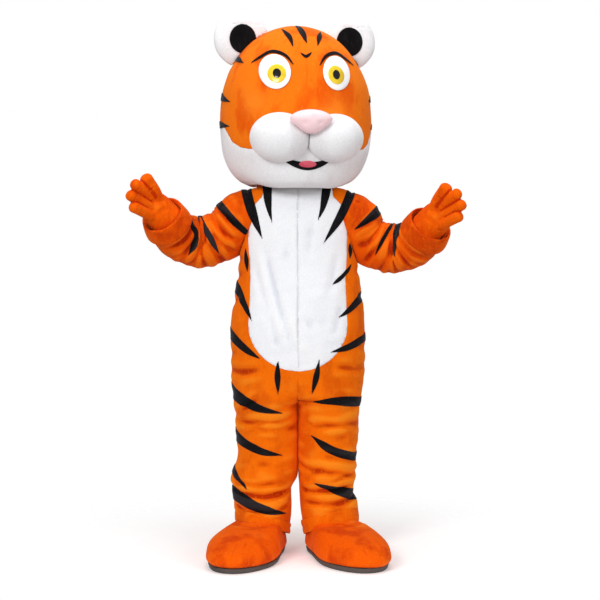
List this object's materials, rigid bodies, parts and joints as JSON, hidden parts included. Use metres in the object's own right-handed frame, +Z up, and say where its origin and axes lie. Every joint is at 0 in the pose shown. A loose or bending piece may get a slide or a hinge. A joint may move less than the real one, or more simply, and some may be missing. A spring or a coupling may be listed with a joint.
{
  "type": "mascot costume",
  "caption": "Tiger mascot costume worn standing: a big hollow head, a one-piece plush suit with a white belly and dark stripes, mitts and padded boots.",
  "frame": {"origin": "midway between the wearer's shoulders, where the suit hangs from the wearer, 1.29 m above the soles", "axes": "+Z up, the front faces -Y, and +X is to the wearer's left"},
  "size_m": [1.1452, 0.6013, 1.8862],
  "materials": {
    "orange_plush": "short orange pile",
    "white_plush": "short white pile",
    "black_plush": "smooth black plush",
    "pink_plush": "smooth pink fleece",
    "tongue_plush": "smooth red fleece",
    "eye_white": "satin white",
    "amber": "glossy yellow",
    "sole_rubber": "matte dark grey"
  },
  "bodies": {
    "root": {"suit_front_right": "orange_plush", "suit_back_right": "orange_plush", "sleeve_top_right": "orange_plush", "sleeve_under_right": "orange_plush", "cuff_right": "orange_plush", "hem_right": "orange_plush", "mitt_palm_right": "orange_plush", "mitt_back_right": "orange_plush", "boot_right": "orange_plush", "belly_right": "white_plush", "muzzle_right": "white_plush", "ear_right": "white_plush", "stripe_chest_inner_right": "black_plush", "stripe_chest_outer_right": "black_plush", "ear_inner_right": "black_plush", "pupil_right": "black_plush", "eye_right": "eye_white", "iris_right": "amber", "sole_right": "sole_rubber", "suit_front_left": "orange_plush", "suit_back_left": "orange_plush", "sleeve_top_left": "orange_plush", "sleeve_under_left": "orange_plush", "cuff_left": "orange_plush", "hem_left": "orange_plush", "mitt_palm_left": "orange_plush", "mitt_back_left": "orange_plush", "boot_left": "orange_plush", "belly_left": "white_plush", "muzzle_left": "white_plush", "ear_left": "white_plush", "stripe_chest_inner_left": "black_plush", "stripe_chest_outer_left": "black_plush", "ear_inner_left": "black_plush", "pupil_left": "black_plush", "eye_left": "eye_white", "iris_left": "amber", "sole_left": "sole_rubber", "back_placket": "orange_plush", "head_face": "orange_plush", "head_back": "orange_plush", "head_jaw": "white_plush", "nose": "pink_plush", "mouth": "black_plush", "tongue": "tongue_plush"}
  },
  "joints": []
}
